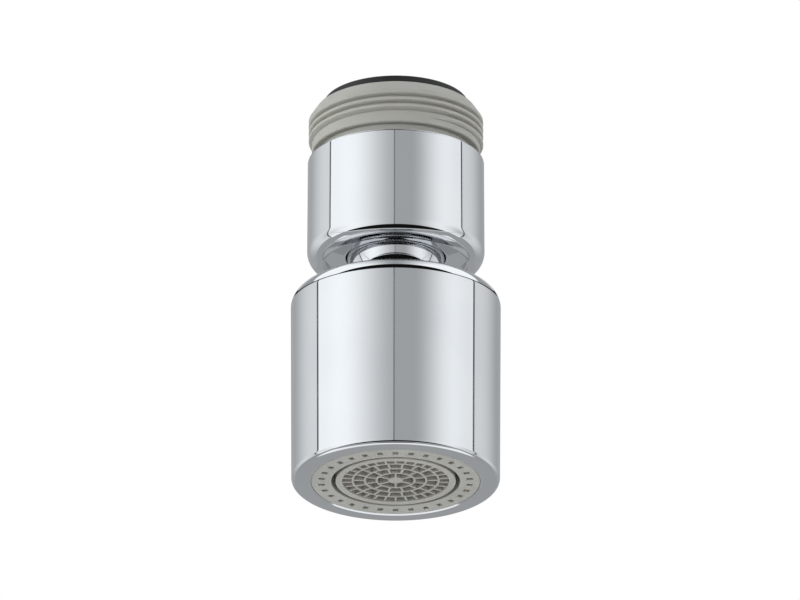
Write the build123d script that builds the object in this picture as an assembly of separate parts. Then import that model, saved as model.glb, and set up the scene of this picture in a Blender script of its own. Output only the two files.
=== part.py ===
from build123d import *
import os
from math import sqrt

# Swivel tap aerator with two sprays: a threaded adapter, a ball joint and an outlet head that
# slides on the ball's hollow stem to change from an aerated stream to a ring of spray jets.
# Sizes are in millimetres. The axis is Z, the outlet rim lies at height 0 and the tap is above.

# Clearances
FIT_GAP = 0.05
RUNNING_GAP = 0.08
STOP_GAP = 0.1
EDGE_MATCH = 0.01

# Outer sleeve of the outlet head
SLEEVE_FOOT_RADIUS = 14.15
SLEEVE_TOP_RADIUS = 14.3
SLEEVE_HEIGHT = 27.6
SLEEVE_BORE_RADIUS = 11.5
SLEEVE_TOP_WALL = 2.4
SLEEVE_TOP_FILLET = 2.0
SLEEVE_FOOT_FILLET = 0.45
SLEEVE_MOUTH_CHAMFER = 0.15

# Spray plate: a channel-shaped ring with slots in its floor
FACE_RECESS = 0.1
SPRAY_PLATE_WIDTH = 2.72
SPRAY_PLATE_WALL = 0.6
SPRAY_PLATE_FLOOR = 1.4
SPRAY_SLOT_COUNT = 30
SPRAY_SLOT_LENGTH = 0.95
SPRAY_SLOT_WIDTH = 0.65
SPRAY_SLOT_START_ANGLE = -90

# Aerator insert with its outlet grid
AIR_GAP = 0.58
AERATOR_WALL = 0.9
AERATOR_FLANGE_LAP = 0.27
AERATOR_FLANGE_HEIGHT = 1.4
GRID_RECESS = 0.2
GRID_DEPTH = 2.8
GRID_HUB_RADIUS = 1.0
GRID_RIB = 0.26
GRID_RING_SHARES = (0, 0.254, 0.507, 0.776, 1)
GRID_CELL_COUNTS = (6, 12, 18, 30)
GRID_TURN_ANGLES = (0, 0, 10, 0)
AIR_WINDOW_COUNT = 8
AIR_WINDOW_WIDTH = 3.0
AIR_WINDOW_HEIGHT = 1.6
AIR_WINDOW_BELOW_FLANGE = 0.6

# Mesh discs, spacer, jet plate and seal in the aerator
SCREEN_THICKNESS = 0.3
SCREEN_RIM = 0.7
SCREEN_PITCH = 1.9
SCREEN_OPENING = 1.3
SCREEN_SPACING = 1.2
SPACER_WALL = 0.5
JET_PLATE_LEDGE = 0.4
JET_PLATE_THICKNESS = 1.2
JET_RADIUS = 0.4
JET_COUNTS = (6, 12)
JET_CIRCLE_RADII = (2.6, 5.2)
AERATOR_SEAL_THICKNESS = 1.2
AERATOR_SEAL_WIDTH = 2.7

# Ball stem
BALL_RADIUS = 6.75
BALL_ABOVE_COLLAR_FOOT = 2.3
BALL_MOUTH_LAND = 0.4
NECK_RADIUS = 4.6
NECK_SHOULDER = 0.4
NECK_FILLET = 0.3
WATERWAY_RADIUS = 2.7
STEM_END_RADIUS = 3.9
STEM_END_BELOW_CLIP = 0.6
STEM_END_CLEARANCE = 1.25
STEM_PORT_COUNT = 4
STEM_PORT_RADIUS = 0.9

# Diverter piston and its clip
FLOW_TRAVEL = 4.0
PISTON_RADIUS = 6.4
PISTON_LENGTH = 7.0
PISTON_WAIST_RADIUS = 5.4
PISTON_WAIST_HEIGHT = 1.4
PISTON_GROOVE_RADIUS = 4.5
PISTON_PORT_COUNT = 4
PISTON_PORT_RADIUS = 0.65
RING_SECTION_RADIUS = 0.75
RING_GROOVE_CLEARANCE = 0.2
RING_INSET = 1.5
CLIP_RADIUS = 5.0
CLIP_THICKNESS = 0.6
CLIP_GROOVE_DEPTH = 0.6
CLIP_MOUTH = 3.0

# Diverter core and its cap
CORE_CHAMBER_RADIUS = 7.4
CORE_LAND_LEAD = 0.5
GALLERY_HEIGHT = 1.2
GALLERY_PORT_COUNT = 10
GALLERY_PORT_RADIUS = 0.55
STOP_LUG_COUNT = 4
STOP_LUG_WIDTH = 2.0
STOP_LUG_HEIGHT = 0.8
STOP_LUG_HOLD = 0.7

# Swivel collar
COLLAR_FOOT_RADIUS = 12.1
COLLAR_TOP_RADIUS = 12.03
COLLAR_HEIGHT = 15.35
SWIVEL_GAP = 4.25
COLLAR_FOOT_FILLET = 2.1
COLLAR_TOP_FILLET = 0.25
COLLAR_RECESS_RADIUS = 9.85
COLLAR_RECESS_DEPTH = 0.95
SEAT_BORE_RADIUS = 9.3
SEAT_LEDGE_ABOVE_CENTRE = 0.8
SEAL_POCKET_RADIUS = 6.6
SEAL_SECTION_RADIUS = 0.75
SEAT_WASHER_THICKNESS = 1.0
SEAT_WASHER_BORE_RADIUS = 5.4

# Threaded adapter, screen and washer
THREAD_RADIUS = 11.93
THREAD_LENGTH = 3.9
THREAD_DEPTH = 0.43
THREAD_LEAD_DEPTH = 0.93
THREAD_LEAD_HEIGHT = 0.9
BAND_HEIGHT = 1.3
BAND_CHAMFER = 0.15
ADAPTER_SHOULDER_GAP = 1.3
SPIGOT_RADIUS = 10.6
ADAPTER_BORE_RADIUS = 6.8
WASHER_POCKET_WALL = 1.02
WASHER_WIDTH = 2.73
WASHER_THICKNESS = 2.8
WASHER_STAND = 1.4
WASHER_EDGE_FILLET = 0.2
INLET_SCREEN_STEP = 1.03
INLET_SCREEN_THICKNESS = 0.5

# Heights and radii that follow from the sizes above
HEAD_CEILING = SLEEVE_HEIGHT - SLEEVE_TOP_WALL
CORE_RADIUS = SLEEVE_BORE_RADIUS - FIT_GAP
SPRAY_PLATE_BORE_RADIUS = CORE_RADIUS - SPRAY_PLATE_WIDTH
SPRAY_SLOT_CIRCLE_RADIUS = CORE_RADIUS - SPRAY_PLATE_WIDTH / 2
AERATOR_RADIUS = SPRAY_PLATE_BORE_RADIUS - AIR_GAP
AERATOR_BORE_RADIUS = AERATOR_RADIUS - AERATOR_WALL
AERATOR_FLANGE_RADIUS = SPRAY_PLATE_BORE_RADIUS + AERATOR_FLANGE_LAP
AERATOR_SEAL_BORE_RADIUS = AERATOR_FLANGE_RADIUS - AERATOR_SEAL_WIDTH
JET_PLATE_RADIUS = AERATOR_BORE_RADIUS + JET_PLATE_LEDGE
PISTON_TOP = HEAD_CEILING - FLOW_TRAVEL - STOP_GAP
PISTON_FOOT = PISTON_TOP - PISTON_LENGTH
PORT_HEIGHT = PISTON_FOOT + PISTON_LENGTH / 2
LOWER_RING_HEIGHT = PISTON_FOOT + RING_INSET
UPPER_RING_HEIGHT = PISTON_TOP - RING_INSET
LAND_RADIUS = PISTON_RADIUS + RUNNING_GAP
RING_CIRCLE_RADIUS = PISTON_RADIUS - RING_SECTION_RADIUS
LAND_FOOT = LOWER_RING_HEIGHT + FLOW_TRAVEL / 2
CORE_SPLIT = PORT_HEIGHT + FLOW_TRAVEL - GALLERY_HEIGHT / 2
GALLERY_TOP = CORE_SPLIT + GALLERY_HEIGHT
GALLERY_RADIUS = SPRAY_SLOT_CIRCLE_RADIUS + GALLERY_PORT_RADIUS + FIT_GAP
CLIP_TOP = PISTON_FOOT - FIT_GAP
CLIP_FOOT = CLIP_TOP - CLIP_THICKNESS
CLIP_GROOVE_RADIUS = STEM_END_RADIUS - CLIP_GROOVE_DEPTH
STEM_END = CLIP_FOOT - STEM_END_BELOW_CLIP
AERATOR_SEAL_TOP = STEM_END - STEM_END_CLEARANCE
AERATOR_FLANGE_TOP = AERATOR_SEAL_TOP - AERATOR_SEAL_THICKNESS
AERATOR_POCKET_FLOOR = AERATOR_FLANGE_TOP - JET_PLATE_THICKNESS
SPRAY_PLATE_TOP = AERATOR_FLANGE_TOP - AERATOR_FLANGE_HEIGHT
GRID_FOOT = FACE_RECESS + GRID_RECESS
GRID_TOP = GRID_FOOT + GRID_DEPTH
SPACER_TOP = GRID_TOP + SCREEN_THICKNESS + SCREEN_SPACING
SCREEN_RADIUS = AERATOR_BORE_RADIUS - FIT_GAP
WATERWAY_FOOT = PORT_HEIGHT - STEM_PORT_RADIUS
COLLAR_FOOT_HEIGHT = SLEEVE_HEIGHT + SWIVEL_GAP
COLLAR_TOP_HEIGHT = COLLAR_FOOT_HEIGHT + COLLAR_HEIGHT
BALL_CENTRE_HEIGHT = COLLAR_FOOT_HEIGHT + BALL_ABOVE_COLLAR_FOOT
BALL_SHOULDER_RADIUS = NECK_RADIUS + NECK_SHOULDER
BALL_SHOULDER = BALL_CENTRE_HEIGHT - sqrt(BALL_RADIUS**2 - BALL_SHOULDER_RADIUS**2)
BALL_MOUTH_RADIUS = WATERWAY_RADIUS + BALL_MOUTH_LAND
BALL_MOUTH = BALL_CENTRE_HEIGHT + sqrt(BALL_RADIUS**2 - BALL_MOUTH_RADIUS**2)
SOCKET_RADIUS = BALL_RADIUS + RUNNING_GAP
SEAT_LEDGE = BALL_CENTRE_HEIGHT + SEAT_LEDGE_ABOVE_CENTRE
SEAL_CIRCLE_RADIUS = SEAL_POCKET_RADIUS - FIT_GAP - SEAL_SECTION_RADIUS
SEAL_REACH = BALL_RADIUS + RUNNING_GAP + SEAL_SECTION_RADIUS
SEAL_HEIGHT = BALL_CENTRE_HEIGHT + sqrt(SEAL_REACH**2 - SEAL_CIRCLE_RADIUS**2)
SEAT_WASHER_FOOT = SEAL_HEIGHT + SEAL_SECTION_RADIUS + FIT_GAP
SEAT_TOP = SEAT_WASHER_FOOT - RUNNING_GAP
COLLAR_BORE_RADIUS = SPIGOT_RADIUS + FIT_GAP
BAND_RADIUS = THREAD_RADIUS - THREAD_DEPTH
THREAD_LEAD_RADIUS = THREAD_RADIUS - THREAD_LEAD_DEPTH
WASHER_RADIUS = THREAD_LEAD_RADIUS - WASHER_POCKET_WALL - FIT_GAP
WASHER_BORE_RADIUS = WASHER_RADIUS - WASHER_WIDTH
INLET_SCREEN_RADIUS = WASHER_RADIUS - INLET_SCREEN_STEP
ADAPTER_FOOT = SEAT_WASHER_FOOT + SEAT_WASHER_THICKNESS
ADAPTER_SHOULDER = COLLAR_TOP_HEIGHT + ADAPTER_SHOULDER_GAP
THREAD_FOOT = ADAPTER_SHOULDER + BAND_HEIGHT
THREAD_TOP = THREAD_FOOT + THREAD_LENGTH
ADAPTER_TOP = THREAD_TOP + THREAD_LEAD_HEIGHT
WASHER_TOP = ADAPTER_TOP + WASHER_STAND
WASHER_FOOT = WASHER_TOP - WASHER_THICKNESS
INLET_SCREEN_FOOT = WASHER_FOOT - INLET_SCREEN_THICKNESS - FIT_GAP


def turned(outline):
    """Turns a closed half-section of (radius, height) points about the axis."""
    return revolve(make_face(Plane.XZ * Polyline(*outline, close=True)), Axis.Z)


def ring(inner_radius, outer_radius, foot, top):
    """A plain ring between two radii and two heights."""
    return turned([(inner_radius, foot), (outer_radius, foot), (outer_radius, top), (inner_radius, top)])


def rod(radius, foot, top):
    """A plain cylinder on the axis between two heights."""
    return turned([(0, foot), (radius, foot), (radius, top), (0, top)])


def o_ring(circle_radius, section_radius, height):
    """A round-section sealing ring."""
    return Pos(0, 0, height) * Torus(circle_radius, section_radius)


def ball(radius):
    """A sphere about the swivel's centre."""
    return Pos(0, 0, BALL_CENTRE_HEIGHT) * Sphere(radius)


def around(tool, count, start=0):
    """Copies of a tool, evenly spaced about the axis."""
    return [Rot(0, 0, start + 360 * index / count) * tool for index in range(count)]


def radial_drill(radius, height, reach):
    """A drill that runs out from the axis along X."""
    upright = Cylinder(radius, reach, align=(Align.CENTER, Align.CENTER, Align.MIN))
    return Pos(0, 0, height) * Rot(0, 90, 0) * upright


def upright_drill(radius, circle_radius, foot, top):
    """A drill parallel to the axis on a pitch circle."""
    return Pos(circle_radius, 0, foot) * Cylinder(
        radius, top - foot, align=(Align.CENTER, Align.CENTER, Align.MIN)
    )


def radial_block(inner_radius, outer_radius, width, foot, top):
    """A block that lies along X between two radii and two heights."""
    block = Box(outer_radius - inner_radius, width, top - foot, align=(Align.MIN, Align.CENTER, Align.MIN))
    return Pos(inner_radius, 0, foot) * block


def circles_at(solid, radius, height):
    """The circular edges of a solid at one radius and height."""
    return [
        edge
        for edge in solid.edges().filter_by(GeomType.CIRCLE)
        if abs(edge.radius - radius) < EDGE_MATCH and abs(edge.arc_center.Z - height) < EDGE_MATCH
    ]


def outer_sleeve():
    """The chromed sleeve: a tapered cup with a hole for the neck."""
    outside = turned(
        [(0, 0), (SLEEVE_FOOT_RADIUS, 0), (SLEEVE_TOP_RADIUS, SLEEVE_HEIGHT), (0, SLEEVE_HEIGHT)]
    )
    outside = fillet(circles_at(outside, SLEEVE_TOP_RADIUS, SLEEVE_HEIGHT), SLEEVE_TOP_FILLET)
    outside = fillet(circles_at(outside, SLEEVE_FOOT_RADIUS, 0), SLEEVE_FOOT_FILLET)
    sleeve = outside - rod(SLEEVE_BORE_RADIUS, 0, HEAD_CEILING)
    sleeve -= rod(NECK_RADIUS + RUNNING_GAP, HEAD_CEILING, SLEEVE_HEIGHT)
    return chamfer(circles_at(sleeve, SLEEVE_BORE_RADIUS, 0), SLEEVE_MOUTH_CHAMFER)


def spray_plate():
    """The channel-shaped ring with spray slots in its floor."""
    outer_wall = CORE_RADIUS - SPRAY_PLATE_WALL
    inner_wall = SPRAY_PLATE_BORE_RADIUS + SPRAY_PLATE_WALL
    floor_top = FACE_RECESS + SPRAY_PLATE_FLOOR
    plate = turned(
        [
            (SPRAY_PLATE_BORE_RADIUS, FACE_RECESS),
            (CORE_RADIUS, FACE_RECESS),
            (CORE_RADIUS, SPRAY_PLATE_TOP),
            (outer_wall, SPRAY_PLATE_TOP),
            (outer_wall, floor_top),
            (inner_wall, floor_top),
            (inner_wall, SPRAY_PLATE_TOP),
            (SPRAY_PLATE_BORE_RADIUS, SPRAY_PLATE_TOP),
        ]
    )
    slot = radial_block(
        SPRAY_SLOT_CIRCLE_RADIUS - SPRAY_SLOT_LENGTH / 2,
        SPRAY_SLOT_CIRCLE_RADIUS + SPRAY_SLOT_LENGTH / 2,
        SPRAY_SLOT_WIDTH,
        FACE_RECESS,
        floor_top,
    )
    return plate - around(slot, SPRAY_SLOT_COUNT, SPRAY_SLOT_START_ANGLE)


def grid_cells():
    """The through openings of the outlet grid, ring by ring."""
    span = AERATOR_BORE_RADIUS - GRID_HUB_RADIUS
    rings = [GRID_HUB_RADIUS + share * span for share in GRID_RING_SHARES]
    cells = Sketch()
    for index, (count, turn) in enumerate(zip(GRID_CELL_COUNTS, GRID_TURN_ANGLES)):
        inner_rib = GRID_RIB / 2 if index > 0 else 0
        outer_rib = GRID_RIB / 2 if index < len(GRID_CELL_COUNTS) - 1 else 0
        inner = rings[index] + inner_rib
        outer = rings[index + 1] - outer_rib
        rib = Rectangle(outer + GRID_RIB, GRID_RIB, align=(Align.MIN, Align.CENTER))
        openings = Circle(outer) - Circle(inner) - around(rib, count, turn + 180 / count)
        cells += openings
    return extrude(Pos(0, 0, GRID_FOOT) * cells, GRID_DEPTH)


def aerator_housing():
    """The insert: a flanged tube with the outlet grid at its foot and air windows under the flange."""
    pocket_radius = JET_PLATE_RADIUS + FIT_GAP
    window_top = SPRAY_PLATE_TOP - AIR_WINDOW_BELOW_FLANGE
    housing = turned(
        [
            (0, GRID_FOOT),
            (AERATOR_BORE_RADIUS, GRID_FOOT),
            (AERATOR_BORE_RADIUS, FACE_RECESS),
            (AERATOR_RADIUS, FACE_RECESS),
            (AERATOR_RADIUS, SPRAY_PLATE_TOP),
            (AERATOR_FLANGE_RADIUS, SPRAY_PLATE_TOP),
            (AERATOR_FLANGE_RADIUS, AERATOR_FLANGE_TOP),
            (pocket_radius, AERATOR_FLANGE_TOP),
            (pocket_radius, AERATOR_POCKET_FLOOR),
            (AERATOR_BORE_RADIUS, AERATOR_POCKET_FLOOR),
            (AERATOR_BORE_RADIUS, GRID_TOP),
            (0, GRID_TOP),
        ]
    )
    window = radial_block(
        0, AERATOR_FLANGE_RADIUS, AIR_WINDOW_WIDTH, window_top - AIR_WINDOW_HEIGHT, window_top
    )
    return housing - grid_cells() - around(window, AIR_WINDOW_COUNT)


def mesh_disc(radius, open_radius, thickness, foot):
    """A disc with square openings on a grid inside a plain rim."""
    steps = int(open_radius / SCREEN_PITCH)
    places = [
        (column * SCREEN_PITCH, row * SCREEN_PITCH)
        for column in range(-steps, steps + 1)
        for row in range(-steps, steps + 1)
    ]
    half = SCREEN_OPENING / 2
    inside = [(x, y) for x, y in places if sqrt((abs(x) + half) ** 2 + (abs(y) + half) ** 2) < open_radius]
    opening = Box(SCREEN_OPENING, SCREEN_OPENING, thickness, align=(Align.CENTER, Align.CENTER, Align.MIN))
    openings = [Pos(x, y, foot) * opening for x, y in inside]
    return rod(radius, foot, foot + thickness) - openings


def lower_screen():
    """The mesh disc that lies on the outlet grid."""
    return mesh_disc(SCREEN_RADIUS, SCREEN_RADIUS - SCREEN_RIM, SCREEN_THICKNESS, GRID_TOP)


def screen_spacer():
    """The ring between the two mesh discs."""
    return ring(SCREEN_RADIUS - SPACER_WALL, SCREEN_RADIUS, GRID_TOP + SCREEN_THICKNESS, SPACER_TOP)


def upper_screen():
    """The mesh disc on the spacer."""
    return mesh_disc(SCREEN_RADIUS, SCREEN_RADIUS - SCREEN_RIM, SCREEN_THICKNESS, SPACER_TOP)


def jet_plate():
    """The plate in the aerator's pocket that splits the flow into jets."""
    plate = rod(JET_PLATE_RADIUS, AERATOR_POCKET_FLOOR, AERATOR_FLANGE_TOP)
    for count, circle_radius in zip(JET_COUNTS, JET_CIRCLE_RADII):
        jet = upright_drill(JET_RADIUS, circle_radius, AERATOR_POCKET_FLOOR, AERATOR_FLANGE_TOP)
        plate -= around(jet, count)
    return plate


def aerator_seal():
    """The rubber washer between the aerator's flange and the core."""
    return ring(AERATOR_SEAL_BORE_RADIUS, AERATOR_FLANGE_RADIUS, AERATOR_FLANGE_TOP, AERATOR_SEAL_TOP)


def diverter_core():
    """The plastic body: aerator pocket, chamber with stop lugs, sealing land and spray passages."""
    pocket_radius = AERATOR_FLANGE_RADIUS + FIT_GAP
    core = turned(
        [
            (pocket_radius, SPRAY_PLATE_TOP),
            (CORE_RADIUS, SPRAY_PLATE_TOP),
            (CORE_RADIUS, CORE_SPLIT),
            (LAND_RADIUS, CORE_SPLIT),
            (LAND_RADIUS, LAND_FOOT + CORE_LAND_LEAD),
            (CORE_CHAMBER_RADIUS, LAND_FOOT),
            (CORE_CHAMBER_RADIUS, AERATOR_SEAL_TOP),
            (pocket_radius, AERATOR_SEAL_TOP),
        ]
    )
    lug_top = PISTON_FOOT - STOP_GAP
    lug = radial_block(
        PISTON_RADIUS - STOP_LUG_HOLD, pocket_radius, STOP_LUG_WIDTH, lug_top - STOP_LUG_HEIGHT, lug_top
    )
    passage = upright_drill(GALLERY_PORT_RADIUS, SPRAY_SLOT_CIRCLE_RADIUS, SPRAY_PLATE_TOP, CORE_SPLIT)
    core += around(lug, STOP_LUG_COUNT)
    return core - around(passage, GALLERY_PORT_COUNT)


def core_cap():
    """The cap on the core, hollowed underneath for the spray gallery."""
    return turned(
        [
            (GALLERY_RADIUS, CORE_SPLIT),
            (CORE_RADIUS, CORE_SPLIT),
            (CORE_RADIUS, HEAD_CEILING),
            (LAND_RADIUS, HEAD_CEILING),
            (LAND_RADIUS, GALLERY_TOP),
            (GALLERY_RADIUS, GALLERY_TOP),
        ]
    )


def ball_stem():
    """Ball, neck and stem end in one turned piece, with a blind waterway and side ports."""
    slab = rod(BALL_RADIUS, BALL_SHOULDER, BALL_MOUTH)
    neck = rod(NECK_RADIUS, PISTON_TOP, BALL_CENTRE_HEIGHT)
    stem = (ball(BALL_RADIUS) & slab) + neck
    stem = fillet(circles_at(stem, NECK_RADIUS, BALL_SHOULDER), NECK_FILLET)
    stem += rod(STEM_END_RADIUS, STEM_END, PISTON_TOP)
    stem -= rod(WATERWAY_RADIUS, WATERWAY_FOOT, BALL_MOUTH)
    stem -= ring(CLIP_GROOVE_RADIUS, STEM_END_RADIUS, CLIP_FOOT, CLIP_TOP)
    port = radial_drill(STEM_PORT_RADIUS, PORT_HEIGHT, NECK_RADIUS)
    stem -= around(port, STEM_PORT_COUNT)
    return chamfer(circles_at(stem, WATERWAY_RADIUS, BALL_MOUTH), BALL_MOUTH_LAND / 2)


def piston_clip():
    """The open retaining ring under the piston."""
    clip = ring(CLIP_GROOVE_RADIUS + FIT_GAP, CLIP_RADIUS, CLIP_FOOT, CLIP_TOP)
    return clip - radial_block(0, CLIP_RADIUS, CLIP_MOUTH, CLIP_FOOT, CLIP_TOP)


def diverter_piston():
    """The spool on the stem end: two ring grooves and a ported waist between them."""
    groove_radius = RING_CIRCLE_RADIUS - RING_SECTION_RADIUS
    groove_half = RING_SECTION_RADIUS + RING_GROOVE_CLEARANCE
    waist_foot = PORT_HEIGHT - PISTON_WAIST_HEIGHT / 2
    waist_top = PORT_HEIGHT + PISTON_WAIST_HEIGHT / 2
    bore_radius = STEM_END_RADIUS + RUNNING_GAP
    piston = ring(bore_radius, PISTON_RADIUS, PISTON_FOOT, PISTON_TOP)
    for height in (LOWER_RING_HEIGHT, UPPER_RING_HEIGHT):
        piston -= ring(groove_radius, PISTON_RADIUS, height - groove_half, height + groove_half)
    piston -= ring(PISTON_WAIST_RADIUS, PISTON_RADIUS, waist_foot, waist_top)
    piston -= ring(bore_radius, PISTON_GROOVE_RADIUS, waist_foot, waist_top)
    port = radial_drill(PISTON_PORT_RADIUS, PORT_HEIGHT, PISTON_RADIUS)
    return piston - around(port, PISTON_PORT_COUNT)


def piston_ring(height):
    """A sealing ring in one of the piston's grooves."""
    return o_ring(RING_CIRCLE_RADIUS, RING_SECTION_RADIUS, height)


def swivel_collar():
    """The chromed collar: socket lip in its recessed foot, seat bore and threaded bore above."""
    lip_face = COLLAR_FOOT_HEIGHT + COLLAR_RECESS_DEPTH
    collar = turned(
        [
            (0, COLLAR_FOOT_HEIGHT),
            (COLLAR_FOOT_RADIUS, COLLAR_FOOT_HEIGHT),
            (COLLAR_TOP_RADIUS, COLLAR_TOP_HEIGHT),
            (0, COLLAR_TOP_HEIGHT),
        ]
    )
    collar = fillet(circles_at(collar, COLLAR_FOOT_RADIUS, COLLAR_FOOT_HEIGHT), COLLAR_FOOT_FILLET)
    collar = fillet(circles_at(collar, COLLAR_TOP_RADIUS, COLLAR_TOP_HEIGHT), COLLAR_TOP_FILLET)
    collar -= rod(COLLAR_RECESS_RADIUS, COLLAR_FOOT_HEIGHT, lip_face)
    collar -= ball(SOCKET_RADIUS)
    collar -= rod(SOCKET_RADIUS, BALL_CENTRE_HEIGHT, SEAT_LEDGE)
    collar -= rod(SEAT_BORE_RADIUS, SEAT_LEDGE, SEAT_WASHER_FOOT)
    return collar - rod(COLLAR_BORE_RADIUS, SEAT_WASHER_FOOT, COLLAR_TOP_HEIGHT)


def ball_seat():
    """The plastic ring on the top half of the ball, with the seal's pocket in its bore."""
    blank = ring(SEAL_POCKET_RADIUS, SEAT_BORE_RADIUS - RUNNING_GAP, SEAT_LEDGE + RUNNING_GAP, SEAT_TOP)
    return blank - ball(SOCKET_RADIUS)


def ball_seal():
    """The sealing ring between the seat's pocket and the ball."""
    return o_ring(SEAL_CIRCLE_RADIUS, SEAL_SECTION_RADIUS, SEAL_HEIGHT)


def seat_washer():
    """The flat rubber washer between the collar's ledge and the adapter."""
    return ring(SEAT_WASHER_BORE_RADIUS, SPIGOT_RADIUS, SEAT_WASHER_FOOT, ADAPTER_FOOT)


def thread_adapter():
    """The plastic adapter: spigot, shouldered band, thread at its outer diameter and washer pocket."""
    pocket_radius = WASHER_RADIUS + FIT_GAP
    screen_radius = INLET_SCREEN_RADIUS + FIT_GAP
    return turned(
        [
            (ADAPTER_BORE_RADIUS, ADAPTER_FOOT),
            (SPIGOT_RADIUS, ADAPTER_FOOT),
            (SPIGOT_RADIUS, ADAPTER_SHOULDER),
            (BAND_RADIUS - BAND_CHAMFER, ADAPTER_SHOULDER),
            (BAND_RADIUS, ADAPTER_SHOULDER + BAND_CHAMFER),
            (BAND_RADIUS, THREAD_FOOT - THREAD_DEPTH),
            (THREAD_RADIUS, THREAD_FOOT),
            (THREAD_RADIUS, THREAD_TOP),
            (THREAD_LEAD_RADIUS, ADAPTER_TOP),
            (pocket_radius, ADAPTER_TOP),
            (pocket_radius, WASHER_FOOT),
            (screen_radius, WASHER_FOOT),
            (screen_radius, INLET_SCREEN_FOOT),
            (ADAPTER_BORE_RADIUS, INLET_SCREEN_FOOT),
        ]
    )


def inlet_screen():
    """The strainer disc in the adapter, under the washer."""
    return mesh_disc(INLET_SCREEN_RADIUS, ADAPTER_BORE_RADIUS, INLET_SCREEN_THICKNESS, INLET_SCREEN_FOOT)


def top_washer():
    """The rubber washer that seals on the spout."""
    washer = ring(WASHER_BORE_RADIUS, WASHER_RADIUS, WASHER_FOOT, WASHER_TOP)
    return fillet(circles_at(washer, WASHER_RADIUS, WASHER_TOP), WASHER_EDGE_FILLET)


PIECES = {
    "top_washer": top_washer(),
    "inlet_screen": inlet_screen(),
    "thread_adapter": thread_adapter(),
    "seat_washer": seat_washer(),
    "swivel_collar": swivel_collar(),
    "ball_seat": ball_seat(),
    "ball_seal": ball_seal(),
    "ball_stem": ball_stem(),
    "piston_clip": piston_clip(),
    "diverter_piston": diverter_piston(),
    "lower_piston_ring": piston_ring(LOWER_RING_HEIGHT),
    "upper_piston_ring": piston_ring(UPPER_RING_HEIGHT),
    "outer_sleeve": outer_sleeve(),
    "diverter_core": diverter_core(),
    "core_cap": core_cap(),
    "spray_plate": spray_plate(),
    "aerator_housing": aerator_housing(),
    "lower_screen": lower_screen(),
    "screen_spacer": screen_spacer(),
    "upper_screen": upper_screen(),
    "jet_plate": jet_plate(),
    "aerator_seal": aerator_seal(),
}

os.makedirs("parts", exist_ok=True)
for node, solid in PIECES.items():
    export_step(solid, f"parts/{node}.step")
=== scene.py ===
import logging
import math
from dataclasses import dataclass
from enum import Enum
from typing import Any, Mapping, Sequence

import bmesh
import bpy
from bpy.types import ID, Material, Mesh, Node, NodeSocket, NodeTree, Object
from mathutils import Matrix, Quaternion, Vector


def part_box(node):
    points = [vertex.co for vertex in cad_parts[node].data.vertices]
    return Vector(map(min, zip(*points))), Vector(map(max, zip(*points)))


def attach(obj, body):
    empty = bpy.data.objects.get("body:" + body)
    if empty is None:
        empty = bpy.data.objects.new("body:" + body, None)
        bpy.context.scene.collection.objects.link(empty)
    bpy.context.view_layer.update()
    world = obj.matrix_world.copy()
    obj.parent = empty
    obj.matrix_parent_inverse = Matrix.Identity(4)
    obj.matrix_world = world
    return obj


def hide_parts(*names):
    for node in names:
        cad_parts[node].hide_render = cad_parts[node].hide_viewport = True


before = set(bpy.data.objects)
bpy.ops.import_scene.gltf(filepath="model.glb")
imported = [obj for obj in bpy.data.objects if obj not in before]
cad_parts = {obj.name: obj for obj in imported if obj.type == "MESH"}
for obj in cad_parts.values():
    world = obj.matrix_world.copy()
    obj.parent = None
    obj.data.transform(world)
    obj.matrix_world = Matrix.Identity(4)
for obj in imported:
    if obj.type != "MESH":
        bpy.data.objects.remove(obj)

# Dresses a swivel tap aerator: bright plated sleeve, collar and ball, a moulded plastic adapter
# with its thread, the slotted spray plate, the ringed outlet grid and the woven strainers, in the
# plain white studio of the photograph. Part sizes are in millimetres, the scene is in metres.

LOG = logging.getLogger("aerator")

# A millimetre in metres
MM = 0.001
# Steps round a turned piece and round a drill
TURN_SEGMENTS = 192
DRILL_SIDES = 24
# Greatest turn between two points of a fillet and of the ball's outline
ARC_STEP = math.radians(6.0)
BALL_STEP = math.radians(1.5)
FEWEST_FILLET_STEPS = 2
# Edges that bend by more than this stay sharp
SHARP_ANGLE = math.radians(32.0)
# How far from its ends a long run has holding points, and how long such a run is, in millimetres
HOLD = 0.06
LONG_RUN = 4 * HOLD
# What is nearer to the axis than this lies on it
AXIS_LIMIT = 1e-6

# Socket types of the node trees
NUMBER = "NodeSocketFloat"
COLOUR = "NodeSocketColor"
GEOMETRY = "NodeSocketGeometry"
# White, as a colour socket takes it
WHITE = (1.0, 1.0, 1.0, 1.0)


class Body(Enum):
    """The bodies of the part that new pieces ride on."""

    COLLAR = "collar"
    STEM = "stem"
    HEAD = "head"


class Slot(Enum):
    """The part's material slots."""

    CHROME = "chrome"
    BEIGE_PLASTIC = "beige_plastic"
    WHITE_PLASTIC = "white_plastic"
    BLACK_RUBBER = "black_rubber"
    STEEL_MESH = "steel_mesh"


def add_object(name: str, data: ID) -> Object:
    """Makes an object of a mesh, lamp or camera and links it to the scene.

    Args:
        name: The object's name.
        data: The mesh, lamp or camera.

    Returns:
        The new object.
    """
    made = bpy.data.objects.new(name, data)
    bpy.context.scene.collection.objects.link(made)
    return made


def shade(mesh: Mesh) -> None:
    """Shades a mesh smooth and keeps its edges sharp."""
    mesh.shade_smooth()
    mesh.set_sharp_from_angle(angle=SHARP_ANGLE)


def new_piece(name: str, mesh: bmesh.types.BMesh) -> Object:
    """Makes a linked, shaded object of a mesh in the making.

    Args:
        name: The object's name.
        mesh: The mesh, which is freed.

    Returns:
        The new object.
    """
    bmesh.ops.recalc_face_normals(mesh, faces=mesh.faces)
    data = bpy.data.meshes.new(name)
    mesh.to_mesh(data)
    mesh.free()
    shade(data)
    return add_object(name, data)


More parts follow.
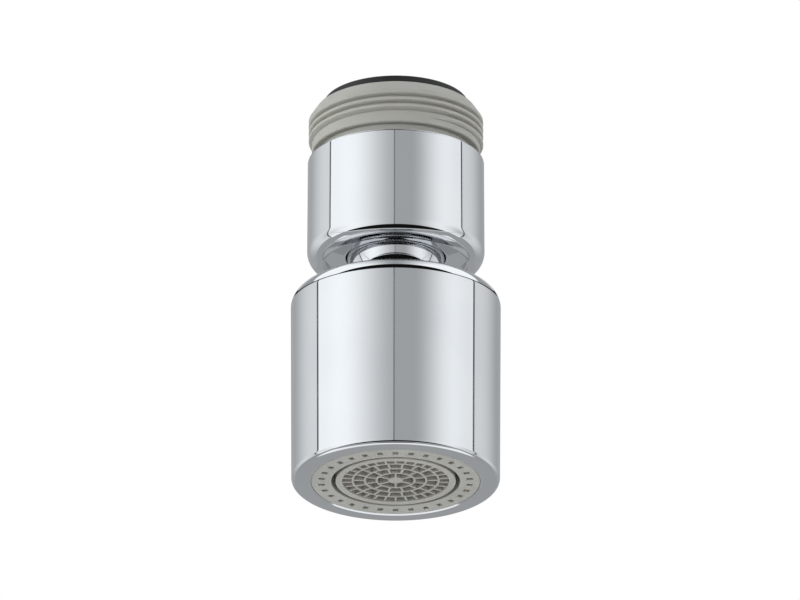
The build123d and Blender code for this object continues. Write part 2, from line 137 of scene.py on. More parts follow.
class Wire:
    """An output socket of a tree, with the arithmetic for its formulas."""

    def __init__(self, wiring: "Wiring", socket: NodeSocket) -> None:
        """Keeps the socket and the wiring of its tree."""
        self.wiring = wiring
        self.socket = socket

    def __add__(self, other: Any) -> "Wire":
        """The sum of both."""
        return self.wiring.calc("ADD", self, other)

    def __sub__(self, other: Any) -> "Wire":
        """This one less the other."""
        return self.wiring.calc("SUBTRACT", self, other)

    def __rsub__(self, other: Any) -> "Wire":
        """The other less this one."""
        return self.wiring.calc("SUBTRACT", other, self)

    def __mul__(self, other: Any) -> "Wire":
        """The product of both."""
        return self.wiring.calc("MULTIPLY", self, other)

    def __truediv__(self, other: Any) -> "Wire":
        """This one divided by the other."""
        return self.wiring.calc("DIVIDE", self, other)

    def __rtruediv__(self, other: Any) -> "Wire":
        """The other divided by this one."""
        return self.wiring.calc("DIVIDE", other, self)

    def __abs__(self) -> "Wire":
        """This one without its sign."""
        return self.wiring.calc("ABSOLUTE", self)

    def __lt__(self, other: Any) -> "Wire":
        """1 where this one is less than the other, and 0 elsewhere."""
        return self.wiring.calc("LESS_THAN", self, other)

    def __gt__(self, other: Any) -> "Wire":
        """1 where this one is greater than the other, and 0 elsewhere."""
        return self.wiring.calc("GREATER_THAN", self, other)


class Wiring:
    """Adds nodes to a tree and joins their sockets.

    The colour sockets of a Mix node share their names with its other sockets, so they go by number.
    """

    MIX_FIRST = 6
    MIX_SECOND = 7
    MIX_RESULT = 2

    def __init__(self, tree: NodeTree) -> None:
        """Keeps the tree to be wired."""
        self.tree = tree

    def inputs(self, kinds: Mapping[str, str]) -> dict[str, Wire]:
        """Gives the tree named inputs.

        Args:
            kinds: The socket type of each input.

        Returns:
            The inputs as the tree sees them, by name.
        """
        for name, kind in kinds.items():
            self.tree.interface.new_socket(name, in_out="INPUT", socket_type=kind)
        given = self.node("NodeGroupInput").outputs
        return {name: Wire(self, given[name]) for name in kinds}

    def outputs(self, kinds: Mapping[str, str], sources: Mapping[str, Any]) -> None:
        """Gives the tree named outputs.

        Args:
            kinds: The socket type of each output.
            sources: What feeds each output.
        """
        for name, kind in kinds.items():
            self.tree.interface.new_socket(name, in_out="OUTPUT", socket_type=kind)
        self.node("NodeGroupOutput", sources)

    def feed(self, socket: NodeSocket, source: Any) -> None:
        """Links a socket to a wire, or sets its value.

        Args:
            socket: The input that is fed.
            source: A wire, or a plain value.
        """
        if isinstance(source, Wire):
            self.tree.links.new(source.socket, socket)
        else:
            socket.default_value = source

    def node(self, kind: str, inputs: Mapping[Any, Any] | None = None, **settings: Any) -> Node:
        """Adds one node.

        Args:
            kind: The node's type name.
            inputs: What feeds its sockets, by name or number.
            **settings: The node's own properties.

        Returns:
            The new node.
        """
        made = self.tree.nodes.new(kind)
        for name, value in settings.items():
            setattr(made, name, value)
        for key, source in (inputs or {}).items():
            self.feed(made.inputs[key], source)
        return made

    def pick(self, node: Node, output: str | int) -> Wire:
        """One output of a node, by name or number."""
        return Wire(self, node.outputs[output])

    def out(self, kind: str, inputs: Mapping[Any, Any] | None = None, **settings: Any) -> Wire:
        """Adds one node, as above, and gives its first output."""
        return self.pick(self.node(kind, inputs, **settings), 0)

    def calc(self, operation: str, *values: Any) -> Wire:
        """Adds a Math node.

        Args:
            operation: What it works out.
            *values: Its inputs, in order.

        Returns:
            The result.
        """
        return self.out("ShaderNodeMath", dict(enumerate(values)), operation=operation)

    def vector(self, **parts: Any) -> Wire:
        """A vector of the parts X, Y and Z that are given."""
        return self.out("ShaderNodeCombineXYZ", parts)

    def split(self, vector: Wire) -> tuple[Wire, Wire, Wire]:
        """The parts X, Y and Z of a vector."""
        parts = self.node("ShaderNodeSeparateXYZ", {0: vector})
        return self.pick(parts, "X"), self.pick(parts, "Y"), self.pick(parts, "Z")

    def ramp(self, value: Any, start: Any, end: Any) -> Wire:
        """Adds a smooth step from 0 at one value to 1 at another.

        Args:
            value: The value that is tested.
            start: Where the step begins.
            end: Where the step ends.

        Returns:
            The step.
        """
        inputs = {"Value": value, "From Min": start, "From Max": end}
        return self.out("ShaderNodeMapRange", inputs, interpolation_type="SMOOTHSTEP")

    def blend(self, factor: Any, first: Any, second: Any) -> Wire:
        """Adds a Mix node for colours.

        Args:
            factor: Share of the second colour.
            first: The colour at 0.
            second: The colour at 1.

        Returns:
            The mixed colour.
        """
        inputs = {"Factor": factor, self.MIX_FIRST: first, self.MIX_SECOND: second}
        mix = self.node("ShaderNodeMix", inputs, data_type="RGBA")
        return self.pick(mix, self.MIX_RESULT)


class GeometryTree(Wiring):
    """A Geometry Nodes tree with named inputs, which leaves a plain mesh behind."""

    def __init__(self, name: str, sizes: Mapping[str, str]) -> None:
        """Makes an empty tree.

        Args:
            name: The tree's name.
            sizes: The socket type of each named input.
        """
        super().__init__(bpy.data.node_groups.new(name, "GeometryNodeTree"))
        self.given = self.inputs({"Geometry": GEOMETRY, **sizes, "Material": "NodeSocketMaterial"})

    def close(self, result: Wire) -> None:
        """Ends the tree with realised instances in one material.

        Args:
            result: The finished geometry.
        """
        real = self.out("GeometryNodeRealizeInstances", {"Geometry": result})
        material = self.given["Material"]
        painted = self.out("GeometryNodeSetMaterial", {"Geometry": real, "Material": material})
        self.outputs({"Geometry": GEOMETRY}, {"Geometry": painted})

    def run(self, piece: Object, values: Mapping[str, Any]) -> None:
        """Runs the tree on a piece and keeps the result as its plain mesh.

        Args:
            piece: The object whose mesh is worked on.
            values: The tree's inputs by name.
        """
        modifier = piece.modifiers.new(self.tree.name, "NODES")
        modifier.node_group = self.tree
        for item in self.tree.interface.items_tree:
            if item.in_out == "INPUT" and item.name in values:
                modifier[item.identifier] = values[item.name]
        depsgraph = bpy.context.evaluated_depsgraph_get()
        made = bpy.data.meshes.new_from_object(piece.evaluated_get(depsgraph))
        piece.modifiers.remove(modifier)
        spent = piece.data
        piece.data = made
        bpy.data.meshes.remove(spent)
        made.name = piece.name
        shade(made)


class PolarCuts(GeometryTree):
    """Cuts evenly spaced copies of one cutter out of a turned piece."""

    def __init__(self) -> None:
        """Builds the tree."""
        super().__init__(
            "Cuts round the axis",
            {"Cutter": "NodeSocketObject", "Count": "NodeSocketInt", "Start Angle": NUMBER},
        )
        count = self.given["Count"]
        place = self.out("GeometryNodeInputIndex") * (math.tau / count)
        cutter = self.node("GeometryNodeObjectInfo", {"Object": self.given["Cutter"]})
        copies = self.out(
            "GeometryNodeInstanceOnPoints",
            {
                "Points": self.out("GeometryNodePoints", {"Count": count}),
                "Instance": self.pick(cutter, "Geometry"),
                "Rotation": self.vector(Z=place + self.given["Start Angle"]),
            },
        )
        cut = self.out(
            "GeometryNodeMeshBoolean",
            {"Mesh 1": self.given["Geometry"], "Mesh 2": copies},
            operation="DIFFERENCE",
            solver="MANIFOLD",
        )
        self.close(cut)


class ThreadCut(GeometryTree):
    """Cuts the groove of a right-hand thread, and a run-in under its first ridge, into a wall.

    TURNS_AHEAD is added to a place along the thread, so that its fraction of a turn is never taken
    of a number below 0.
    """

    TURNS_AHEAD = 2.0

    def __init__(self) -> None:
        """Builds the tree."""
        lengths = ("Pitch", "Start Height", "Foot Height", "Root Half", "Mouth Half")
        radii = ("Root Radius", "Band Radius", "Reach Radius", "Wall Radius")
        turns = ("Start Angle", "Turns", "Start Fade", "End Fade")
        super().__init__("Thread", dict.fromkeys(lengths + radii + turns, NUMBER))
        given = self.given
        reach = given["Reach Radius"]
        x, y, z = self.split(self.out("GeometryNodeInputPosition"))
        radius = self.calc("SQRT", x * x + y * y)
        turned = (self.calc("ARCTAN2", y, x) - given["Start Angle"]) / math.tau
        part_turn = self.calc("FRACT", turned + self.TURNS_AHEAD)
        phase = (z - given["Start Height"]) / given["Pitch"] - part_turn
        groove = self.calc("ROUND", phase)
        flank = self.out(
            "ShaderNodeMapRange",
            {
                "Value": abs(phase - groove) * given["Pitch"],
                "From Min": given["Root Half"],
                "From Max": given["Mouth Half"],
                "To Min": given["Root Radius"],
                "To Max": reach,
            },
        )
        along = groove + part_turn
        fade_out = self.ramp(along, given["Turns"] - given["End Fade"], given["Turns"])
        closed = self.calc("MAXIMUM", fade_out, along < 0.0)
        filled = flank + closed * (reach - flank)
        grown = self.ramp(self.calc("FLOOR", phase) + part_turn, 0.0, given["Start Fade"])
        ridge = given["Band Radius"] + grown * (reach - given["Band Radius"])
        kept = self.calc("MINIMUM", radius, self.calc("MINIMUM", filled, ridge))
        scale = kept / self.calc("MAXIMUM", radius, AXIS_LIMIT)
        moved = self.vector(X=x * scale, Y=y * scale, Z=z)
        wall = (radius > given["Wall Radius"]) * (z > given["Foot Height"])
        cut = self.out(
            "GeometryNodeSetPosition",
            {"Geometry": given["Geometry"], "Selection": wall, "Position": moved},
        )
        self.close(cut)


class WovenDisc(GeometryTree):
    """Weaves a round wire screen in a flat rim."""

    STEPS_PER_CROSSING = 6
    WIRE_SIDES = 6
    RIM_SEGMENTS = 96
    QUARTER_TURN = (0.0, 0.0, math.pi / 2)
    FLAT = (1.0, 1.0, 0.0)

    def __init__(self) -> None:
        """Builds the tree."""
        wire_sizes = ("Height", "Pitch", "Wire Radius", "Reach")
        rim_sizes = ("Rim Radius", "Rim Width", "Rim Thickness")
        super().__init__("Woven disc", dict.fromkeys(wire_sizes + rim_sizes, NUMBER))
        given = self.given
        side = self.calc("FLOOR", given["Reach"] / given["Pitch"])
        span = side * given["Pitch"]
        back = span * -1.0
        rows = self.out(
            "GeometryNodeMeshLine",
            {
                "Count": side * 2.0 + 1.0,
                "Start Location": self.vector(Y=back),
                "Offset": self.vector(Y=given["Pitch"]),
            },
        )
        ends = {"Start": self.vector(X=back), "End": self.vector(X=span)}
        wire = self.out("GeometryNodeCurvePrimitiveLine", ends)
        steps = side * (2.0 * self.STEPS_PER_CROSSING) + 1.0
        fine = self.out("GeometryNodeResampleCurve", {"Curve": wire, "Count": steps})
        laid = self.out("GeometryNodeInstanceOnPoints", {"Points": rows, "Instance": fine})
        flat = self.out("GeometryNodeRealizeInstances", {"Geometry": laid})
        crossed = self.out("GeometryNodeTransform", {"Geometry": flat, "Rotation": self.QUARTER_TURN})
        woven = self.joined(self.waved(flat, 1.0), self.waved(crossed, -1.0))
        past = self.radius() > given["Reach"]
        trimmed = self.out("GeometryNodeDeleteGeometry", {"Geometry": woven, "Selection": past})
        section = self.circle(self.WIRE_SIDES, given["Wire Radius"])
        wires = self.out(
            "GeometryNodeCurveToMesh",
            {"Curve": trimmed, "Profile Curve": section, "Fill Caps": True},
        )
        whole = self.joined(wires, self.rim())
        lift = self.vector(Z=given["Height"])
        self.close(self.out("GeometryNodeTransform", {"Geometry": whole, "Translation": lift}))

    def joined(self, *parts: Wire) -> Wire:
        """Joins geometries into one."""
        join = self.node("GeometryNodeJoinGeometry")
        for part in parts:
            self.feed(join.inputs[0], part)
        return self.pick(join, 0)

    def circle(self, segments: int, radius: Wire) -> Wire:
        """A round curve of some segments."""
        inputs = {"Resolution": segments, "Radius": radius}
        return self.out("GeometryNodeCurvePrimitiveCircle", inputs)

    def radius(self) -> Wire:
        """A point's distance from the disc's centre."""
        position = self.out("GeometryNodeInputPosition")
        flat = self.out("ShaderNodeVectorMath", {0: position, 1: self.FLAT}, operation="MULTIPLY")
        length = self.node("ShaderNodeVectorMath", {0: flat}, operation="LENGTH")
        return self.pick(length, "Value")

    def waved(self, wires: Wire, sign: float) -> Wire:
        """Bends wires over and under the ones they cross.

        Args:
            wires: The flat, straight wires.
            sign: 1 for the wires one way, -1 for those across them.

        Returns:
            The bent wires.
        """
        x, y, _ = self.split(self.out("GeometryNodeInputPosition"))
        wave = self.calc("COSINE", (x + y) / self.given["Pitch"] * math.pi)
        offset = self.vector(Z=wave * sign * self.given["Wire Radius"])
        return self.out("GeometryNodeSetPosition", {"Geometry": wires, "Offset": offset})

    def rim(self) -> Wire:
        """The flat ring round the wires."""
        width = self.given["Rim Width"]
        section = self.out(
            "GeometryNodeCurvePrimitiveQuadrilateral",
            {"Width": width, "Height": self.given["Rim Thickness"]},
        )
        path = self.circle(self.RIM_SEGMENTS, self.given["Rim Radius"] - width / 2.0)
        return self.out("GeometryNodeCurveToMesh", {"Curve": path, "Profile Curve": section})


@dataclass(frozen=True)
class Corner:
    """One corner of a half-section, in millimetres.

    Attributes:
        radius: Distance from the axis.
        height: Height above the outlet rim.
        fillet: Radius that rounds the corner.
    """

    radius: float
    height: float
    fillet: float = 0.0

    @property
    def point(self) -> Vector:
        """The corner as a flat vector."""
        return Vector((self.radius, self.height))


class Lathe:
    """Turns closed half-sections about the axis."""

    @staticmethod
    def arc(height: float, radius: float, start: float, end: float) -> list[Corner]:
        """Points on a ball's outline.

        Args:
            height: The ball's centre on the axis.
            radius: The ball's radius.
            start: Elevation of the first point, in radians.
            end: Elevation of the last point, in radians.

        Returns:
            The points from start to end.
        """
        steps = math.ceil(abs(end - start) / BALL_STEP)
        angles = [start + (end - start) * index / steps for index in range(steps + 1)]
        return [
            Corner(radius * math.cos(angle), height + radius * math.sin(angle))
            for angle in angles
        ]

    @staticmethod
    def run(start: Corner, end: Corner, step: float) -> list[Corner]:
        """Closely spaced points on a straight run.

        Args:
            start: The first point.
            end: The last point.
            step: The greatest spacing.

        Returns:
            The points from start to end.
        """
        steps = math.ceil((end.point - start.point).length / step)
        places = [start.point.lerp(end.point, index / steps) for index in range(steps + 1)]
        return [Corner(place.x, place.y) for place in places]

    @staticmethod
    def rounded(before: Corner, corner: Corner, after: Corner) -> list[Vector]:
        """The points that stand for one corner.

        Args:
            before: The corner before it.
            corner: The corner to round.
            after: The corner after it.

        Returns:
            The corner itself, or the points of its fillet.
        """
        if corner.fillet == 0.0:
            return [corner.point]
        back = (before.point - corner.point).normalized()
        ahead = (after.point - corner.point).normalized()
        half = back.angle(ahead) / 2
        centre = corner.point + (back + ahead).normalized() * (corner.fillet / math.sin(half))
        reach = corner.fillet / math.tan(half)
        first = corner.point + back * reach - centre
        last = corner.point + ahead * reach - centre
        start = math.atan2(first.y, first.x)
        sweep = math.remainder(math.atan2(last.y, last.x) - start, math.tau)
        steps = max(FEWEST_FILLET_STEPS, math.ceil(abs(sweep) / ARC_STEP))
        angles = [start + sweep * index / steps for index in range(steps + 1)]
        return [
            centre + Vector((math.cos(angle), math.sin(angle))) * corner.fillet
            for angle in angles
        ]

    @classmethod
    def outline(cls, corners: Sequence[Corner]) -> list[Vector]:
        """The points of a closed half-section, with holding points at the ends of long runs.

        Args:
            corners: The section's corners in order.

        Returns:
            The points in order.
        """
        count = len(corners)
        parts = [
            cls.rounded(corners[index - 1], corners[index], corners[(index + 1) % count])
            for index in range(count)
        ]
        points: list[Vector] = []
        for part, following in zip(parts, parts[1:] + parts[:1]):
            points += part
            run = following[0] - part[-1]
            if run.length > LONG_RUN:
                step = run.normalized() * HOLD
                points += [part[-1] + step, following[0] - step]
        return points

    @classmethod
    def turn(cls, name: str, corners: Sequence[Corner]) -> Object:
        """Turns a half-section into a closed mesh object.

        Args:
            name: The object's name.
            corners: The section's corners in order.

        Returns:
            The new object, linked to the scene.
        """
        mesh = bmesh.new()
        angles = [math.tau * index / TURN_SEGMENTS for index in range(TURN_SEGMENTS)]
        rings = []
        for point in cls.outline(corners):
            radius, height = point.x * MM, point.y * MM
            if point.x < AXIS_LIMIT:
                spots = [(0.0, 0.0, height)]
            else:
                spots = [
                    (radius * math.cos(angle), radius * math.sin(angle), height) for angle in angles
                ]
            rings.append([mesh.verts.new(spot) for spot in spots])
        for ring, following in zip(rings, rings[1:] + rings[:1]):
            cls.bridge(mesh, ring, following)
        return new_piece(name, mesh)

    @staticmethod
    def bridge(
        mesh: bmesh.types.BMesh,
        ring: Sequence[bmesh.types.BMVert],
        following: Sequence[bmesh.types.BMVert],
    ) -> None:
        """Joins two rings of vertices, either of which may be a single pole.

        Args:
            mesh: The mesh that holds them.
            ring: The first ring.
            following: The second ring.
        """
        count = max(len(ring), len(following))
        if count == 1:
            return
        for index in range(count):
            after = (index + 1) % count
            loop = [ring[index % len(ring)], ring[after % len(ring)]]
            loop += [following[after % len(following)], following[index % len(following)]]
            mesh.faces.new(list(dict.fromkeys(loop)))


class Cutter:
    """Makes closed cutting shapes that lie along X, in millimetres."""

    @staticmethod
    def prism(name: str, outline: Sequence[Vector], foot: float, top: float) -> Object:
        """A cutter with upright walls.

        Args:
            name: The object's name.
            outline: Its plan, in order.
            foot: Its lowest height.
            top: Its highest height.

        Returns:
            The cutter.
        """
        mesh = bmesh.new()
        low = [mesh.verts.new((point.x * MM, point.y * MM, foot * MM)) for point in outline]
        high = [mesh.verts.new((point.x * MM, point.y * MM, top * MM)) for point in outline]
        mesh.faces.new(low[::-1])
        mesh.faces.new(high)
        Lathe.bridge(mesh, low, high)
        return new_piece(name, mesh)

    @classmethod
    def block(cls, inner: float, outer: float, width: float, foot: float, top: float) -> Object:
        """A straight block between two radii.

        Args:
            inner: Its nearest distance from the axis.
            outer: Its farthest distance from the axis.
            width: Its width across.
            foot: Its lowest height.
            top: Its highest height.

        Returns:
            The cutter.
        """
        half = width / 2
        corners = ((inner, -half), (outer, -half), (outer, half), (inner, half))
        return cls.prism("block_cutter", [Vector(corner) for corner in corners], foot, top)

    @classmethod
    def cell(
        cls, inner: float, outer: float, count: int, rib: float, foot: float, top: float
    ) -> Object:
        """One opening of a ring of cells, between ribs of even width.

        Args:
            inner: The ring's inner radius.
            outer: The ring's outer radius.
            count: The number of cells in the ring.
            rib: The ribs' width.
            foot: Its lowest height.
            top: Its highest height.

        Returns:
            The cutter.
        """
        plan: list[Vector] = []
        for radius, sense in ((inner, 1.0), (outer, -1.0)):
            half = math.pi / count - math.asin(rib / 2 / radius)
            steps = math.ceil(2 * half / ARC_STEP)
            angles = [sense * half * (1 - 2 * index / steps) for index in range(steps + 1)]
            plan += [Vector((radius * math.cos(angle), radius * math.sin(angle))) for angle in angles]
        return cls.prism("cell_cutter", plan, foot, top)

    @staticmethod
    def drill(radius: float, height: float, reach: float) -> Object:
        """A round drill that runs out along X.

        Args:
            radius: Its radius.
            height: Its height.
            reach: How far it goes from the axis.

        Returns:
            The cutter.
        """
        mesh = bmesh.new()
        angles = [math.tau * index / DRILL_SIDES for index in range(DRILL_SIDES)]
        across = [(radius * math.cos(angle), height + radius * math.sin(angle)) for angle in angles]
        near = [mesh.verts.new(Vector((0.0, *spot)) * MM) for spot in across]
        far = [mesh.verts.new(Vector((reach, *spot)) * MM) for spot in across]
        mesh.faces.new(near)
        mesh.faces.new(far[::-1])
        Lathe.bridge(mesh, near, far)
        return new_piece("drill_cutter", mesh)


@dataclass(frozen=True)
class Span:
    """A node's reach in the frame, in millimetres.

    Attributes:
        radius: Its greatest distance from the axis.
        foot: Its lowest height.
        top: Its highest height.
    """

    radius: float
    foot: float
    top: float

    @classmethod
    def of(cls, node: str) -> "Span":
        """Reads a node's reach from the frame."""
        low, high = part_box(node)
        return cls(max(high.x, high.y) / MM, low.z / MM, high.z / MM)


class SurfaceDrift(Wiring):
    """The shader group of slow tone and gloss changes and fine grain, shared by the finishes.

    PATCH_EDGES are the noise values between which the tone and the gloss change.
    """

    DRIFT_DETAIL = 3.0
    GRAIN_DETAIL = 2.0
    PATCH_EDGES = (0.35, 0.65)

    def __init__(self) -> None:
        """Builds the group."""
        super().__init__(bpy.data.node_groups.new("Surface drift", "ShaderNodeTree"))
        numbers = ("Drift Scale", "Grain Scale", "Gloss Low", "Gloss High")
        tones = ("Tone A", "Tone B")
        given = self.inputs({**dict.fromkeys(numbers, NUMBER), **dict.fromkeys(tones, COLOUR)})
        patch = self.ramp(self.noise(given["Drift Scale"], self.DRIFT_DETAIL), *self.PATCH_EDGES)
        gloss = {"Value": patch, "To Min": given["Gloss Low"], "To Max": given["Gloss High"]}
        self.outputs(
            {"Tone": COLOUR, "Roughness": NUMBER, "Height": NUMBER},
            {
                "Tone": self.blend(patch, given["Tone A"], given["Tone B"]),
                "Roughness": self.out("ShaderNodeMapRange", gloss),
                "Height": self.noise(given["Grain Scale"], self.GRAIN_DETAIL),
            },
        )

    def noise(self, scale: Wire, detail: float) -> Wire:
        """Noise over the piece's own coordinates."""
        place = self.pick(self.node("ShaderNodeTexCoord"), "Object")
        return self.out("ShaderNodeTexNoise", {"Vector": place, "Scale": scale, "Detail": detail})


@dataclass(frozen=True)
class Finish:
    """A finish of the part.

    Attributes:
        slot: Its material slot.
        tones: The two colours between which it drifts.
        gloss: The two roughnesses between which it drifts.
        metallic: 1 for a metal.
        drift_scale: Scale of the slow changes, per metre.
        grain_scale: Scale of the fine grain, per metre.
        grain_depth: Height of the fine grain, in metres.
        specular: Strength of the plain reflection.
        glow: Share of the light that spreads under the surface.
        glow_reach: How far red, green and blue light spread under the surface, in metres.
    """

    slot: Slot
    tones: tuple[tuple[float, float, float], tuple[float, float, float]]
    gloss: tuple[float, float]
    metallic: float = 0.0
    drift_scale: float = 90.0
    grain_scale: float = 4000.0
    grain_depth: float = 0.0
    specular: float = 0.5
    glow: float = 0.0
    glow_reach: tuple[float, float, float] = (0.0011, 0.0009, 0.0007)

    def build(self, drift: SurfaceDrift) -> Material:
        """Makes the material.

        Args:
            drift: The shared group.

        Returns:
            The new material.
        """
        made = bpy.data.materials.new(self.slot.value)
        made.use_nodes = True
        wiring = Wiring(made.node_tree)
        shader = made.node_tree.nodes["Principled BSDF"]
        low, high = self.gloss
        first, second = self.tones
        values = {
            "Drift Scale": self.drift_scale,
            "Grain Scale": self.grain_scale,
            "Gloss Low": low,
            "Gloss High": high,
            "Tone A": (*first, 1.0),
            "Tone B": (*second, 1.0),
        }
        change = wiring.node("ShaderNodeGroup", values, node_tree=drift.tree)
        settings = {
            "Base Color": wiring.pick(change, "Tone"),
            "Roughness": wiring.pick(change, "Roughness"),
            "Metallic": self.metallic,
            "Specular IOR Level": self.specular,
            "Subsurface Weight": self.glow,
            "Subsurface Radius": self.glow_reach,
            "Subsurface Scale": 1.0,
        }
        for name, value in settings.items():
            wiring.feed(shader.inputs[name], value)
        if self.grain_depth > 0.0:
            grain = {"Height": wiring.pick(change, "Height"), "Distance": self.grain_depth}
            wiring.feed(shader.inputs["Normal"], wiring.out("ShaderNodeBump", grain))
        return made


FINISHES = (
    Finish(
        slot=Slot.CHROME,
        tones=((0.7, 0.71, 0.73), (0.72, 0.73, 0.745)),
        gloss=(0.025, 0.06),
        metallic=1.0,
    ),
    Finish(
        slot=Slot.BEIGE_PLASTIC,
        tones=((0.39, 0.385, 0.353), (0.418, 0.413, 0.381)),
        gloss=(0.38, 0.48),
        grain_depth=0.00001,
        glow=0.4,
    ),
    Finish(
        slot=Slot.WHITE_PLASTIC,
        tones=((0.76, 0.76, 0.73), (0.81, 0.81, 0.78)),
        gloss=(0.38, 0.5),
        grain_depth=0.00001,
    ),
    Finish(
        slot=Slot.BLACK_RUBBER,
        tones=((0.016, 0.016, 0.016), (0.024, 0.024, 0.024)),
        gloss=(0.36, 0.46),
        grain_depth=0.00002,
        specular=0.35,
    ),
    Finish(
        slot=Slot.STEEL_MESH,
        tones=((0.55, 0.55, 0.54), (0.62, 0.62, 0.6)),
        gloss=(0.25, 0.38),
        metallic=1.0,
    ),
)


class Workshop:
    """Holds the finishes and trees, hands pieces to the frame and keeps a note of each."""

    def __init__(self) -> None:
        """Builds the materials and trees."""
        drift = SurfaceDrift()
        self.materials = {finish.slot: finish.build(drift) for finish in FINISHES}
        self.cuts = PolarCuts()
        self.thread = ThreadCut()
        self.weave = WovenDisc()
        self.notes: list[str] = []

    def paint(self, piece: Object, slot: Slot) -> None:
        """Gives a piece one finish in the place of any other."""
        piece.data.materials.clear()
        piece.data.materials.append(self.materials[slot])

    def cut(self, piece: Object, slot: Slot, cutter: Object, count: int, start: float) -> None:
        """Cuts copies of a cutter out of a piece and clears the cutter away.

        Args:
            piece: The piece that is cut.
            slot: The piece's finish.
            cutter: The cutter, in the place of the copy at angle 0.
            count: The number of copies.
            start: Angle of the first copy, in radians.
        """
        values = {"Cutter": cutter, "Count": count, "Start Angle": start}
        self.cuts.run(piece, {**values, "Material": self.materials[slot]})
        spent = cutter.data
        bpy.data.objects.remove(cutter)
        bpy.data.meshes.remove(spent)

    def hand_over(self, piece: Object, slot: Slot, body: Body, node: str) -> None:
        """Dresses a new piece and puts it in the place of a node.

        Args:
            piece: The new piece.
            slot: Its finish.
            body: The body that it rides on.
            node: The node that it stands for.
        """
        self.paint(piece, slot)
        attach(piece, body.value)
        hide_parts(node)
        faces = len(piece.data.polygons)
        self.notes.append(f"{piece.name}: {faces} faces, {slot.value}, on {body.value}")

    def screen(
        self, name: str, node: str, body: Body, rim_width: float, pitch: float, wire: float
    ) -> None:
        """Weaves a screen and puts it in the place of a node.

        Args:
            name: The screen's name.
            node: The node that it stands for.
            body: The body that it rides on.
            rim_width: Width of the flat rim.
            pitch: Spacing of the wires.
            wire: Radius of the wires.
        """
        span = Span.of(node)
        piece = new_piece(name, bmesh.new())
        values = {
            "Height": (span.foot + span.top) / 2 * MM,
            "Pitch": pitch * MM,
            "Wire Radius": wire * MM,
            "Reach": (span.radius - rim_width / 2) * MM,
            "Rim Radius": span.radius * MM,
            "Rim Width": rim_width * MM,
            "Rim Thickness": (span.top - span.foot) * MM,
            "Material": self.materials[Slot.STEEL_MESH],
        }
        self.weave.run(piece, values)
        self.hand_over(piece, Slot.STEEL_MESH, body, node)

    def dress(self, slot: Slot, *nodes: str) -> None:
        """Gives nodes that stay their finish.

        Args:
            slot: The finish.
            *nodes: The nodes' names.
        """
        for node in nodes:
            self.paint(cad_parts[node], slot)
            self.notes.append(f"{node}: own solid, {slot.value}")


